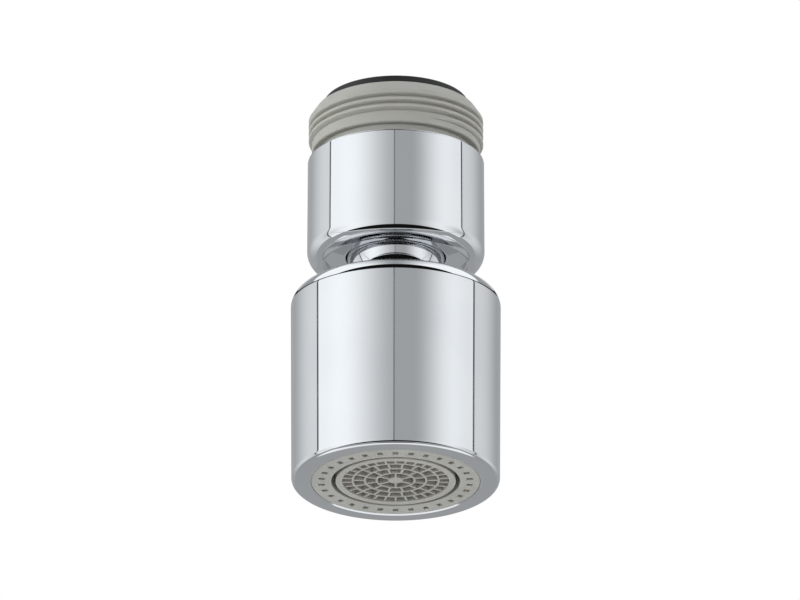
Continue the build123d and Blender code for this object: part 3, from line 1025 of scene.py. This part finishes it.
@dataclass
class SpoutEnd:
    """The threaded adapter with its strainer and washer.

    Attributes:
        workshop: Finishes and trees.
        bore: Radius of the adapter's bore.
        spigot: Radius of the spigot in the collar.
        shoulder: Height of the shoulder over the collar's top.
        band: Radius of the plain band under the thread.
        band_chamfer: Chamfer on the band's foot.
        band_height: Height of the plain band.
        thread_length: Length of the full thread.
        thread_pitch: Rise of the thread in a turn.
        thread_turns: Turns of the groove.
        thread_angle: Where the groove starts, in degrees from X.
        thread_sink: How far the groove starts below the top of the band.
        thread_root: Radius at the groove's floor.
        thread_floor: Width of the groove's floor.
        thread_crest: Width of the ridges' crests.
        thread_over: How far the groove's flanks pass the crests.
        thread_fade_in: Length in which the first ridge grows, in turns.
        thread_fade_out: Length in which the groove ends, in turns.
        thread_row: Spacing of the mesh rows on the thread.
        lead: Radius at the top of the lead-in.
        lead_drop: How far the lead-in starts below the end of the thread.
        pocket_gap: Play round the washer and the strainer.
        edge: Rounding of the moulded edges.
        washer_edge: Rounding of the washer's edges.
        washer_bore: Radius of the washer's hole.
        wire_pitch: Spacing of the strainer's wires.
        wire: Radius of the strainer's wires.
    """

    workshop: Workshop
    bore: float = 6.8
    spigot: float = 10.6
    shoulder: float = 1.3
    band: float = 11.5
    band_chamfer: float = 0.15
    band_height: float = 1.3
    thread_length: float = 3.9
    thread_pitch: float = 1.03
    thread_turns: float = 3.4
    thread_angle: float = -66.0
    thread_sink: float = 0.13
    thread_root: float = 11.26
    thread_floor: float = 0.16
    thread_crest: float = 0.28
    thread_over: float = 0.05
    thread_fade_in: float = 0.07
    thread_fade_out: float = 0.05
    thread_row: float = 0.05
    lead: float = 11.0
    lead_drop: float = 0.5
    pocket_gap: float = 0.05
    edge: float = 0.12
    washer_edge: float = 0.2
    washer_bore: float = 7.2
    wire_pitch: float = 0.75
    wire: float = 0.11

    def build(self) -> None:
        """Builds and dresses the pieces."""
        self.adapter()
        self.washer()
        self.strainer()
        self.workshop.dress(Slot.BLACK_RUBBER, "seat_washer")

    def adapter(self) -> None:
        """The moulded adapter, with the thread cut into its wall."""
        span = Span.of("thread_adapter")
        washer = Span.of("top_washer")
        screen = Span.of("inlet_screen")
        shoulder = Span.of("swivel_collar").top + self.shoulder
        thread_foot = shoulder + self.band_height
        thread_top = thread_foot + self.thread_length
        pocket = washer.radius + self.pocket_gap
        seat = screen.radius + self.pocket_gap
        band_top = Corner(self.band, thread_foot - (span.radius - self.band))
        crest_foot = Corner(span.radius, thread_foot)
        crest_top = Corner(span.radius, thread_top - self.lead_drop)
        lead_top = Corner(self.lead, span.top)
        wall = Lathe.run(band_top, crest_foot, self.thread_row)
        wall += Lathe.run(crest_foot, crest_top, self.thread_row)[1:]
        wall += Lathe.run(crest_top, lead_top, self.thread_row)[1:-1]
        piece = Lathe.turn(
            "threaded_adapter",
            [
                Corner(self.bore, span.foot, self.edge),
                Corner(self.spigot, span.foot, self.edge),
                Corner(self.spigot, shoulder),
                Corner(self.band - self.band_chamfer, shoulder, self.edge),
                Corner(self.band, shoulder + self.band_chamfer, self.edge),
                *wall,
                lead_top,
                Corner(pocket, span.top, self.edge),
                Corner(pocket, washer.foot),
                Corner(seat, washer.foot),
                Corner(seat, screen.foot),
                Corner(self.bore, screen.foot),
            ],
        )
        values = {
            "Pitch": self.thread_pitch * MM,
            "Start Height": (band_top.height - self.thread_sink) * MM,
            "Root Radius": self.thread_root * MM,
            "Band Radius": self.band * MM,
            "Reach Radius": (span.radius + self.thread_over) * MM,
            "Root Half": self.thread_floor / 2 * MM,
            "Mouth Half": (self.thread_pitch - self.thread_crest) / 2 * MM,
            "Start Angle": math.radians(self.thread_angle),
            "Turns": self.thread_turns,
            "Start Fade": self.thread_fade_in,
            "End Fade": self.thread_fade_out,
            "Foot Height": band_top.height * MM,
            "Wall Radius": (pocket + HOLD) * MM,
            "Material": self.workshop.materials[Slot.BEIGE_PLASTIC],
        }
        self.workshop.thread.run(piece, values)
        self.workshop.hand_over(piece, Slot.BEIGE_PLASTIC, Body.COLLAR, "thread_adapter")

    def washer(self) -> None:
        """The rubber washer on top."""
        span = Span.of("top_washer")
        piece = Lathe.turn(
            "spout_washer",
            [
                Corner(self.washer_bore, span.foot, self.washer_edge),
                Corner(span.radius, span.foot, self.washer_edge),
                Corner(span.radius, span.top, self.washer_edge),
                Corner(self.washer_bore, span.top, self.washer_edge),
            ],
        )
        self.workshop.hand_over(piece, Slot.BLACK_RUBBER, Body.COLLAR, "top_washer")

    def strainer(self) -> None:
        """The woven strainer under the washer."""
        node = "inlet_screen"
        rim = Span.of(node).radius - self.bore
        self.workshop.screen("strainer_mesh", node, Body.COLLAR, rim, self.wire_pitch, self.wire)


@dataclass
class SwivelJoint:
    """The chromed collar and the ball with its hollow stem.

    Attributes:
        workshop: Finishes and trees.
        foot_radius: Radius of the collar's wall at its foot.
        top_radius: Radius of the collar's wall at its top.
        foot_fillet: Rounding of the collar's foot.
        top_fillet: Rounding of the collar's top.
        recess_radius: Radius of the recess in the foot.
        recess_depth: Depth of the recess.
        lip_fillet: Rounding of the socket's lip.
        thread_bore: Radius of the collar's upper bore.
        seat_bore: Radius of the bore round the ball's seat.
        ball_height: Height of the ball's centre.
        ball_gap: Play between ball and socket.
        ledge: Height of the seat's ledge over the ball's centre.
        neck: Radius of the neck.
        neck_fillet: Rounding between neck and ball.
        shoulder: Width of the ball's flat shoulder.
        mouth: Radius of the ball's flat top.
        waterway: Radius of the waterway.
        end_radius: Radius of the stem in the piston.
        clip_depth: Depth of the clip's groove.
        piston_gap: Play between the neck's end and the piston.
        port: Radius of the side ports.
        port_count: Number of side ports.
        edge: Rounding of small turned edges.
    """

    workshop: Workshop
    foot_radius: float = 12.1
    top_radius: float = 12.03
    foot_fillet: float = 2.1
    top_fillet: float = 0.25
    recess_radius: float = 9.85
    recess_depth: float = 0.95
    lip_fillet: float = 0.45
    thread_bore: float = 10.65
    seat_bore: float = 9.3
    ball_height: float = 34.15
    ball_gap: float = 0.08
    ledge: float = 0.8
    neck: float = 4.6
    neck_fillet: float = 0.3
    shoulder: float = 0.4
    mouth: float = 3.1
    waterway: float = 2.7
    end_radius: float = 3.9
    clip_depth: float = 0.6
    piston_gap: float = 0.03
    port: float = 0.9
    port_count: int = 4
    edge: float = 0.1

    def build(self) -> None:
        """Builds and dresses the pieces."""
        self.collar()
        self.ball_stem()
        self.workshop.dress(Slot.WHITE_PLASTIC, "ball_seat", "diverter_piston")
        self.workshop.dress(Slot.BLACK_RUBBER, "ball_seal", "lower_piston_ring", "upper_piston_ring")
        self.workshop.dress(Slot.STEEL_MESH, "piston_clip")

    def collar(self) -> None:
        """The plated collar, with the socket's lip in its foot."""
        span = Span.of("swivel_collar")
        socket = Span.of("ball_stem").radius + self.ball_gap
        washer_foot = Span.of("seat_washer").foot
        ledge = self.ball_height + self.ledge
        lip = span.foot + self.recess_depth
        lip_angle = math.asin((lip - self.ball_height) / socket)
        lip_end = math.asin((lip + self.lip_fillet - self.ball_height) / socket)
        piece = Lathe.turn(
            "plated_collar",
            [
                Corner(self.recess_radius, span.foot, self.edge),
                Corner(self.foot_radius, span.foot, self.foot_fillet),
                Corner(self.top_radius, span.top, self.top_fillet),
                Corner(self.thread_bore, span.top, self.edge),
                Corner(self.thread_bore, washer_foot),
                Corner(self.seat_bore, washer_foot),
                Corner(self.seat_bore, ledge),
                Corner(socket, ledge),
                *Lathe.arc(self.ball_height, socket, 0.0, lip_end),
                Corner(socket * math.cos(lip_angle), lip, self.lip_fillet),
                Corner(self.recess_radius, lip, self.edge),
            ],
        )
        self.workshop.hand_over(piece, Slot.CHROME, Body.COLLAR, "swivel_collar")

    def ball_stem(self) -> None:
        """The plated ball, neck and stem, with its blind waterway and side ports."""
        span = Span.of("ball_stem")
        piston = Span.of("diverter_piston")
        clip = Span.of("piston_clip")
        groove = self.end_radius - self.clip_depth
        shoulder = self.neck + self.shoulder
        shoulder_angle = -math.acos(shoulder / span.radius)
        mouth_angle = math.acos(self.mouth / span.radius)
        shoulder_height = self.ball_height + span.radius * math.sin(shoulder_angle)
        mouth_chamfer = (self.mouth - self.waterway) / 2
        port_height = (piston.foot + piston.top) / 2
        waterway_foot = port_height - self.port
        piece = Lathe.turn(
            "ball_and_stem",
            [
                Corner(0.0, span.foot),
                Corner(self.end_radius, span.foot, self.edge),
                Corner(self.end_radius, clip.foot),
                Corner(groove, clip.foot),
                Corner(groove, clip.top),
                Corner(self.end_radius, clip.top),
                Corner(self.end_radius, piston.top + self.piston_gap),
                Corner(self.neck, piston.top + self.piston_gap, self.edge),
                Corner(self.neck, shoulder_height, self.neck_fillet),
                *Lathe.arc(self.ball_height, span.radius, shoulder_angle, mouth_angle),
                Corner(self.waterway + mouth_chamfer, span.top),
                Corner(self.waterway, span.top - mouth_chamfer),
                Corner(self.waterway, waterway_foot),
                Corner(0.0, waterway_foot),
            ],
        )
        port = Cutter.drill(self.port, port_height, self.neck)
        self.workshop.cut(piece, Slot.CHROME, port, self.port_count, 0.0)
        self.workshop.hand_over(piece, Slot.CHROME, Body.STEM, "ball_stem")


@dataclass
class OutletHead:
    """The plated sleeve with the spray plate, the aerator and its screens.

    Attributes:
        workshop: Finishes and trees.
        foot_radius: Radius of the sleeve's wall at its foot.
        top_radius: Radius of the sleeve's wall at its top.
        top_wall: Thickness of the sleeve's top.
        top_fillet: Rounding of the sleeve's top.
        foot_fillet: Rounding of the sleeve's foot.
        bore: Radius of the sleeve's bore.
        mouth_width: Width of the slope at the bore's mouth.
        mouth_depth: Depth of the slope at the bore's mouth.
        neck_hole: Radius of the hole for the neck.
        edge: Rounding of small edges.
        plate_bore: Radius of the spray plate's hole.
        plate_wall: Thickness of the spray plate's walls.
        plate_floor: Thickness of the spray plate's floor.
        slot_count: Number of spray slots.
        slot_length: Length of a slot along its radius.
        slot_width: Width of a slot.
        slot_start: Place of the first slot, in degrees from X.
        insert_radius: Radius of the aerator's tube.
        insert_bore: Radius of the aerator's bore.
        grid_recess: Depth of the grid behind the face.
        grid_depth: Depth of the grid's ribs.
        grid_hub: Radius of the grid's hub.
        grid_rib: Width of the grid's ribs.
        ring_shares: Places of the grid's rings, from the hub to the bore.
        cell_counts: Cells in each ring of the grid, from the hub.
        cell_turns: Turn of each ring, in degrees.
        window_count: Number of air windows.
        window_width: Width of an air window.
        window_height: Height of an air window.
        window_drop: Height of the flange over the windows.
        pocket_gap: Play round the jet plate.
        cut_past: How far a cutter passes the faces that it cuts.
        screen_rim: Width of the screens' rims.
        wire_pitch: Spacing of the screens' wires.
        wire: Radius of the screens' wires.
    """

    workshop: Workshop
    foot_radius: float = 14.15
    top_radius: float = 14.3
    top_wall: float = 2.4
    top_fillet: float = 2.0
    foot_fillet: float = 0.7
    bore: float = 11.5
    mouth_width: float = 0.3
    mouth_depth: float = 0.13
    neck_hole: float = 4.68
    edge: float = 0.1
    plate_bore: float = 8.73
    plate_wall: float = 0.6
    plate_floor: float = 1.4
    slot_count: int = 30
    slot_length: float = 0.85
    slot_width: float = 0.75
    slot_start: float = -90.0
    insert_radius: float = 8.15
    insert_bore: float = 7.25
    grid_recess: float = 0.2
    grid_depth: float = 2.8
    grid_hub: float = 1.0
    grid_rib: float = 0.26
    ring_shares: tuple[float, ...] = (0.0, 0.254, 0.507, 0.776, 1.0)
    cell_counts: tuple[int, ...] = (6, 12, 18, 30)
    cell_turns: tuple[float, ...] = (0.0, 0.0, 10.0, 0.0)
    window_count: int = 8
    window_width: float = 3.0
    window_height: float = 1.6
    window_drop: float = 0.6
    pocket_gap: float = 0.05
    cut_past: float = 0.2
    screen_rim: float = 0.7
    wire_pitch: float = 0.6
    wire: float = 0.07

    def build(self) -> None:
        """Builds and dresses the pieces."""
        self.sleeve()
        self.spray_plate()
        self.aerator()
        for name, node in (("lower_mesh", "lower_screen"), ("upper_mesh", "upper_screen")):
            self.workshop.screen(
                name, node, Body.HEAD, self.screen_rim, self.wire_pitch, self.wire
            )
        moulded = ("screen_spacer", "jet_plate", "diverter_core", "core_cap")
        self.workshop.dress(Slot.WHITE_PLASTIC, *moulded)
        self.workshop.dress(Slot.BLACK_RUBBER, "aerator_seal")

    def sleeve(self) -> None:
        """The plated sleeve."""
        span = Span.of("outer_sleeve")
        ceiling = span.top - self.top_wall
        piece = Lathe.turn(
            "plated_sleeve",
            [
                Corner(self.bore + self.mouth_width, span.foot),
                Corner(self.foot_radius, span.foot, self.foot_fillet),
                Corner(self.top_radius, span.top, self.top_fillet),
                Corner(self.neck_hole, span.top, self.edge),
                Corner(self.neck_hole, ceiling),
                Corner(self.bore, ceiling),
                Corner(self.bore, span.foot + self.mouth_depth),
            ],
        )
        self.workshop.hand_over(piece, Slot.CHROME, Body.HEAD, "outer_sleeve")

    def spray_plate(self) -> None:
        """The channel-shaped ring with its spray slots."""
        span = Span.of("spray_plate")
        outer_wall = span.radius - self.plate_wall
        inner_wall = self.plate_bore + self.plate_wall
        floor_top = span.foot + self.plate_floor
        piece = Lathe.turn(
            "slotted_plate",
            [
                Corner(self.plate_bore, span.foot, self.edge),
                Corner(span.radius, span.foot, self.edge),
                Corner(span.radius, span.top),
                Corner(outer_wall, span.top),
                Corner(outer_wall, floor_top),
                Corner(inner_wall, floor_top),
                Corner(inner_wall, span.top),
                Corner(self.plate_bore, span.top),
            ],
        )
        middle = (self.plate_bore + span.radius) / 2
        slot = Cutter.block(
            middle - self.slot_length / 2,
            middle + self.slot_length / 2,
            self.slot_width,
            span.foot - self.cut_past,
            floor_top + self.cut_past,
        )
        start = math.radians(self.slot_start)
        self.workshop.cut(piece, Slot.BEIGE_PLASTIC, slot, self.slot_count, start)
        self.workshop.hand_over(piece, Slot.BEIGE_PLASTIC, Body.HEAD, "spray_plate")

    def aerator(self) -> None:
        """The flanged insert with its ringed grid and air windows."""
        span = Span.of("aerator_housing")
        jets = Span.of("jet_plate")
        flange_foot = Span.of("spray_plate").top
        pocket = jets.radius + self.pocket_gap
        grid_foot = span.foot + self.grid_recess
        grid_top = grid_foot + self.grid_depth
        piece = Lathe.turn(
            "aerator_insert",
            [
                Corner(0.0, grid_foot),
                Corner(self.insert_bore, grid_foot),
                Corner(self.insert_bore, span.foot, self.edge),
                Corner(self.insert_radius, span.foot, self.edge),
                Corner(self.insert_radius, flange_foot),
                Corner(span.radius, flange_foot),
                Corner(span.radius, span.top),
                Corner(pocket, span.top),
                Corner(pocket, jets.foot),
                Corner(self.insert_bore, jets.foot),
                Corner(self.insert_bore, grid_top),
                Corner(0.0, grid_top),
            ],
        )
        reach = self.insert_bore - self.grid_hub
        rings = [self.grid_hub + share * reach for share in self.ring_shares]
        cut_foot = grid_foot - self.cut_past
        cut_top = grid_top + self.cut_past
        last = len(self.cell_counts) - 1
        for index, (count, turn) in enumerate(zip(self.cell_counts, self.cell_turns)):
            inner = rings[index] + (self.grid_rib / 2 if index > 0 else 0.0)
            outer = rings[index + 1] - (self.grid_rib / 2 if index < last else 0.0)
            cell = Cutter.cell(inner, outer, count, self.grid_rib, cut_foot, cut_top)
            self.workshop.cut(piece, Slot.BEIGE_PLASTIC, cell, count, math.radians(turn))
        window_top = flange_foot - self.window_drop
        window = Cutter.block(
            self.insert_bore - self.cut_past,
            self.insert_radius + self.cut_past,
            self.window_width,
            window_top - self.window_height,
            window_top,
        )
        self.workshop.cut(piece, Slot.BEIGE_PLASTIC, window, self.window_count, 0.0)
        self.workshop.hand_over(piece, Slot.BEIGE_PLASTIC, Body.HEAD, "aerator_housing")


@dataclass(frozen=True)
class StudioCard:
    """A card or lit panel of the studio, by the directions that it fills, in degrees.

    Attributes:
        name: What it is in the studio.
        azimuth: Its left and right edge, with 0 at the camera's side.
        elevation: Its lower and upper edge.
        level: Its brightness.
        front: Its lower and upper edge in the view from the side, which lie level and straight.
        glow: Change of its brightness in the middle of a soft patch.
        glow_side: Where the patch is, to the left or right of the middle plane.
        glow_spread: How far the patch reaches.
        blur: Softness of its edges.
    """

    name: str
    azimuth: tuple[float, float]
    elevation: tuple[float, float]
    level: float
    front: tuple[float, float] = (-190.0, 190.0)
    glow: float = 0.0
    glow_side: float = 0.0
    glow_spread: float = 1.0
    blur: float = 1.0


# Directions that several cards fill, in degrees, and the level of the dark cards
ALL_ROUND = (-181.0, 181.0)
FRONT_HALF = (-97.0, 97.0)
FULL_HEIGHT = (-91.0, 91.0)
LOW_HALF = (-91.0, 0.0)
BLACK = 0.006

# Later cards lie over earlier ones
CARDS = (
    StudioCard(
        "high light", ALL_ROUND, (28.0, 91.0), 1.05,
        front=(57.0, 118.0), glow=-0.7, glow_spread=26.0, blur=2.0,
    ),
    StudioCard("left back corner", (-177.0, -150.0), (27.0, 40.0), 0.55, blur=1.5),
    StudioCard("right back corner", (150.0, 177.0), (27.0, 40.0), 0.55, blur=1.5),
    StudioCard(
        "left side panel", (-163.0, -94.0), (-21.0, 27.0), 0.38,
        glow=0.36, glow_side=-66.0, glow_spread=40.0,
    ),
    StudioCard(
        "right side panel", (94.0, 163.0), (-21.0, 27.0), 0.36,
        glow=0.34, glow_side=66.0, glow_spread=40.0,
    ),
    StudioCard("dark front", FRONT_HALF, FULL_HEIGHT, BLACK, front=(-57.0, 57.0)),
    StudioCard("dark low front", (-34.0, 34.0), LOW_HALF, BLACK, front=(-88.0, -57.0), blur=4.0),
    StudioCard("dark line over the panels", (-165.0, 165.0), (26.5, 30.0), BLACK, blur=0.8),
    StudioCard(
        "left front panel", (-95.5, -2.3), (-26.0, 26.0), 0.45,
        glow=0.6, glow_side=-57.0, glow_spread=60.0, blur=0.6,
    ),
    StudioCard(
        "right front panel", (-1.5, 95.5), (-26.0, 26.0), 0.39,
        glow=0.54, glow_side=59.0, glow_spread=42.0, blur=0.6,
    ),
    StudioCard("left seam", (-97.2, -94.8), (-20.0, 27.0), 0.05, blur=0.6),
    StudioCard("right seam", (94.8, 97.2), (-20.0, 27.0), 0.05, blur=0.6),
    StudioCard("low bright line", FRONT_HALF, LOW_HALF, 0.6, front=(-63.0, -57.0), blur=0.8),
    StudioCard("low light", ALL_ROUND, (-91.0, -45.0), 0.95, front=(-130.0, -90.0), blur=2.0),
)


class CardGroup(Wiring):
    """The shader group that lays one card over what is behind it."""

    DIRECTION = ("Azimuth", "Elevation", "Front", "Side")
    EDGES = ("Left", "Right", "Low", "High", "Front Low", "Front High", "Blur")
    LIGHT = ("Level", "Glow", "Glow Side", "Glow Spread")

    def __init__(self) -> None:
        """Builds the group."""
        super().__init__(bpy.data.node_groups.new("Studio card", "ShaderNodeTree"))
        names = ("Behind",) + self.DIRECTION + self.EDGES + self.LIGHT
        self.given = self.inputs(dict.fromkeys(names, NUMBER))
        given = self.given
        sideways = self.between(given["Azimuth"], given["Left"], given["Right"])
        upright = self.between(given["Elevation"], given["Low"], given["High"])
        level = self.between(given["Front"], given["Front Low"], given["Front High"])
        off_spot = abs(given["Side"] - given["Glow Side"])
        spot = 1.0 - self.ramp(off_spot, 0.0, given["Glow Spread"])
        change = given["Level"] + spot * given["Glow"] - given["Behind"]
        light = given["Behind"] + change * (sideways * upright * level)
        self.outputs({"Light": NUMBER}, {"Light": light})

    def between(self, value: Wire, low: Wire, high: Wire) -> Wire:
        """A mask that is 1 between two soft edges.

        Args:
            value: The value that is tested.
            low: The lower edge.
            high: The upper edge.

        Returns:
            The mask.
        """
        blur = self.given["Blur"]
        above = self.ramp(value, low - blur, low + blur)
        past = self.ramp(value, high - blur, high + blur)
        return above - past


@dataclass(frozen=True)
class Lamp:
    """A soft lamp that lights the plastic and stays out of the plating's reflections.

    Attributes:
        name: Its name.
        place: Where it stands, in metres.
        size: Its side, in metres.
        power: Its power, in watts.
    """

    name: str
    place: tuple[float, float, float]
    size: float
    power: float


@dataclass
class Studio:
    """World, lamps, floor and camera.

    Attributes:
        elevation: The camera's elevation in degrees, below the part.
        roll: The camera's tilt about its own axis, in degrees.
        distance: The camera's distance.
        field_width: Width of the picture at the part.
        aim: What the camera looks at.
        sensor: Width of the camera's sensor, in millimetres.
        surround: Brightness of the room behind the cards.
        tint: Tint of the studio's light.
        floor_height: Height of the floor, under the camera.
        floor_size: Side of the floor.
        lamps: The lamps.
    """

    elevation: float = -23.0
    roll: float = 0.05
    distance: float = 2.4
    field_width: float = 0.10892
    aim: tuple[float, float, float] = (0.00057, 0.0, 0.0269)
    sensor: float = 36.0
    surround: float = 0.34
    tint: tuple[float, float, float] = (1.17, 1.205, 1.225)
    floor_height: float = -1.2
    floor_size: float = 16.0
    lamps: tuple[Lamp, ...] = (
        Lamp("left_lamp", place=(-0.8, -0.4, 0.1), size=0.4, power=3.4),
        Lamp("right_lamp", place=(0.8, -0.4, 0.1), size=0.4, power=2.1),
        Lamp("low_lamp", place=(0.0, -0.05, -0.8), size=0.1, power=0.9),
        Lamp("front_lamp", place=(0.0, -0.5, -0.7), size=0.3, power=1.6),
    )

    def build(self) -> None:
        """Builds the whole studio."""
        bpy.context.scene.view_settings.view_transform = "Standard"
        self.world()
        self.floor()
        for lamp in self.lamps:
            self.light(lamp)
        self.camera()

    def world(self) -> None:
        """White to the camera, and to all else the room of cards that the plating mirrors."""
        world = bpy.data.worlds.new("studio_world")
        bpy.context.scene.world = world
        world.use_nodes = True
        world.node_tree.nodes.clear()
        wiring = Wiring(world.node_tree)
        x, y, z = wiring.split(wiring.pick(wiring.node("ShaderNodeTexCoord"), "Generated"))
        toward = y * -1.0
        angles = (
            wiring.calc("ARCTAN2", x, toward),
            wiring.calc("ARCSINE", z),
            wiring.calc("ARCTAN2", z, toward),
            wiring.calc("ARCSINE", x),
        )
        degrees = [wiring.calc("DEGREES", angle) for angle in angles]
        directions = dict(zip(CardGroup.DIRECTION, degrees))
        group = CardGroup()
        light: Any = self.surround
        for card in CARDS:
            edges = (*card.azimuth, *card.elevation, *card.front, card.blur)
            levels = (card.level, card.glow, card.glow_side, card.glow_spread)
            values = {"Behind": light, **directions}
            values.update(zip(CardGroup.EDGES, edges))
            values.update(zip(CardGroup.LIGHT, levels))
            light = wiring.out("ShaderNodeGroup", values, node_tree=group.tree, label=card.name)
        tinted = wiring.out("ShaderNodeVectorMath", {0: self.tint, "Scale": light}, operation="SCALE")
        camera_ray = wiring.pick(wiring.node("ShaderNodeLightPath"), "Is Camera Ray")
        seen = wiring.blend(camera_ray, tinted, WHITE)
        background = wiring.out("ShaderNodeBackground", {"Color": seen})
        wiring.node("ShaderNodeOutputWorld", {"Surface": background})

    def floor(self) -> None:
        """A pale floor far below, as white to the camera as the backdrop."""
        mesh = bmesh.new()
        bmesh.ops.create_grid(mesh, x_segments=1, y_segments=1, size=self.floor_size / 2)
        bmesh.ops.translate(mesh, verts=mesh.verts, vec=(0.0, 0.0, self.floor_height))
        data = bpy.data.meshes.new("studio_floor")
        mesh.to_mesh(data)
        mesh.free()
        floor = add_object("studio_floor", data)
        paint = bpy.data.materials.new("studio_floor")
        paint.use_nodes = True
        paint.node_tree.nodes.clear()
        wiring = Wiring(paint.node_tree)
        camera_ray = wiring.pick(wiring.node("ShaderNodeLightPath"), "Is Camera Ray")
        clear = wiring.out("ShaderNodeBsdfTransparent")
        white = wiring.out("ShaderNodeEmission")
        shown = wiring.out("ShaderNodeMixShader", {0: camera_ray, 1: clear, 2: white})
        wiring.node("ShaderNodeOutputMaterial", {"Surface": shown})
        data.materials.append(paint)

    def light(self, lamp: Lamp) -> None:
        """Sets up one lamp, aimed at the part."""
        data = bpy.data.lights.new(lamp.name, "AREA")
        data.size = lamp.size
        data.energy = lamp.power
        stand = add_object(lamp.name, data)
        stand.location = lamp.place
        sight = Vector(self.aim) - Vector(lamp.place)
        stand.rotation_euler = sight.to_track_quat("-Z", "Y").to_euler()
        stand.visible_camera = False
        stand.visible_glossy = False

    def camera(self) -> None:
        """The photograph's camera, below the part and looking up."""
        data = bpy.data.cameras.new("photo_camera")
        data.sensor_width = self.sensor
        data.lens = self.sensor * self.distance / self.field_width
        rise = math.radians(self.elevation)
        back = Vector((0.0, -math.cos(rise), math.sin(rise)))
        stand = add_object("photo_camera", data)
        stand.location = Vector(self.aim) + back * self.distance
        level = (-back).to_track_quat("-Z", "Y")
        tilt = Quaternion((0.0, 0.0, 1.0), math.radians(self.roll))
        stand.rotation_euler = (level @ tilt).to_euler()
        bpy.context.scene.camera = stand


def main() -> None:
    """Builds the sub-assemblies and the studio, and reports each piece."""
    logging.basicConfig(level=logging.INFO, format="%(message)s")
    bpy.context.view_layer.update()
    workshop = Workshop()
    SpoutEnd(workshop).build()
    SwivelJoint(workshop).build()
    OutletHead(workshop).build()
    for note in workshop.notes:
        LOG.info(note)
    Studio().build()


if __name__ == "__main__":
    main()
